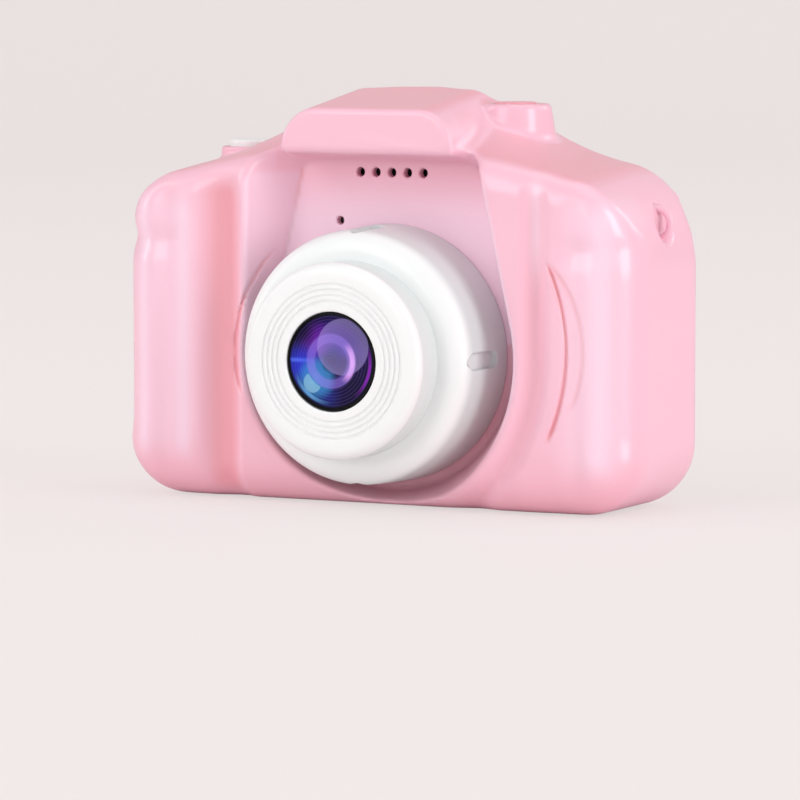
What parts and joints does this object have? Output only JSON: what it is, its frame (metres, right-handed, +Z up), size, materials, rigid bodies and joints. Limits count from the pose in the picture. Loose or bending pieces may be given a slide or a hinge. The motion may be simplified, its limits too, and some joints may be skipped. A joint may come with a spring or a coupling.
{
  "type": "kids digital camera",
  "caption": "Small toy camera with a pink moulded shell, a hooded hump over a recessed panel, a stout white fixed lens, top buttons and rear keys beside a screen.",
  "frame": {"origin": "on the flat bottom, at the middle of the body's width and of its depth without the lens", "axes": "+Z up, the lens looks towards -Y, +X to the right when the lens is faced"},
  "size_m": [0.0844, 0.0393, 0.0605],
  "materials": {
    "pink_shell": "moulded gloss",
    "white_gloss": "moulded gloss",
    "white_keys": "moulded satin",
    "black_gloss": "gloss",
    "clear_glass": "polished",
    "black_plastic": "fine matt",
    "plunger_plastic": "matt",
    "circuit_board": "solder mask",
    "flat_cable": "amber film",
    "steel": "bright",
    "display_module": "dark display",
    "frame_plastic": "matt",
    "battery_foil": "satin foil",
    "foam": "open foam",
    "rubber_boot": "matt",
    "wire_sleeve": "smooth"
  },
  "bodies": {
    "camera": {"battery_leads": "wire_sleeve", "battery_pack": "battery_foil", "battery_pad": "foam", "board_screws": "steel", "card_socket": "steel", "front_shell": "pink_shell", "key_switches": "black_plastic", "lcd_flex": "flat_cable", "lcd_frame": "frame_plastic", "lcd_panel": "display_module", "lens_barrel": "white_gloss", "lens_base_ring": "white_gloss", "lens_bezel": "black_gloss", "lens_cell": "black_plastic", "lens_element": "clear_glass", "lens_screws": "steel", "lens_shade": "black_plastic", "lens_window": "clear_glass", "main_board": "circuit_board", "main_processor": "black_plastic", "memory_chip": "black_plastic", "microphone": "steel", "microphone_boot": "rubber_boot", "microphone_leads": "wire_sleeve", "module_carrier": "black_plastic", "power_switch": "black_plastic", "rear_shell": "pink_shell", "reset_switch": "black_plastic", "screen_window": "black_gloss", "sensor_board": "circuit_board", "sensor_flex": "flat_cable", "sensor_holder": "black_plastic", "shell_screws": "steel", "shutter_switch": "black_plastic", "speaker": "black_plastic", "speaker_gasket": "foam", "speaker_leads": "wire_sleeve", "usb_socket": "steel", "window_adhesive": "black_plastic"},
    "shutter": {"shutter_button": "white_gloss", "shutter_plunger": "plunger_plastic"},
    "power": {"power_button": "pink_shell", "power_plunger": "plunger_plastic"},
    "key_up": {"up_key": "white_keys", "up_plunger": "plunger_plastic"},
    "key_down": {"down_key": "white_keys", "down_plunger": "plunger_plastic"},
    "key_left": {"left_key": "white_keys", "left_plunger": "plunger_plastic"},
    "key_right": {"right_key": "white_keys", "right_plunger": "plunger_plastic"},
    "key_ok": {"ok_key": "white_keys", "ok_plunger": "plunger_plastic"},
    "key_mode": {"mode_key": "white_keys", "mode_plunger": "plunger_plastic"},
    "key_playback": {"playback_key": "white_keys", "playback_plunger": "plunger_plastic"}
  },
  "joints": [
    {"name": "shutter_press", "type": "slide", "parent": "camera", "child": "shutter", "axis": [0, 0, -1], "range_m": [0, 0.0006], "stiffness_N_per_m": 900},
    {"name": "power_press", "type": "slide", "parent": "camera", "child": "power", "axis": [0, 0, -1], "range_m": [0, 0.0006], "stiffness_N_per_m": 900},
    {"name": "up_press", "type": "slide", "parent": "camera", "child": "key_up", "axis": [0, -1, 0], "range_m": [0, 0.0005], "stiffness_N_per_m": 900},
    {"name": "down_press", "type": "slide", "parent": "camera", "child": "key_down", "axis": [0, -1, 0], "range_m": [0, 0.0005], "stiffness_N_per_m": 900},
    {"name": "left_press", "type": "slide", "parent": "camera", "child": "key_left", "axis": [0, -1, 0], "range_m": [0, 0.0005], "stiffness_N_per_m": 900},
    {"name": "right_press", "type": "slide", "parent": "camera", "child": "key_right", "axis": [0, -1, 0], "range_m": [0, 0.0005], "stiffness_N_per_m": 900},
    {"name": "ok_press", "type": "slide", "parent": "camera", "child": "key_ok", "axis": [0, -1, 0], "range_m": [0, 0.0005], "stiffness_N_per_m": 900},
    {"name": "mode_press", "type": "slide", "parent": "camera", "child": "key_mode", "axis": [0, -1, 0], "range_m": [0, 0.0005], "stiffness_N_per_m": 900},
    {"name": "playback_press", "type": "slide", "parent": "camera", "child": "key_playback", "axis": [0, -1, 0], "range_m": [0, 0.0005], "stiffness_N_per_m": 900}
  ]
}
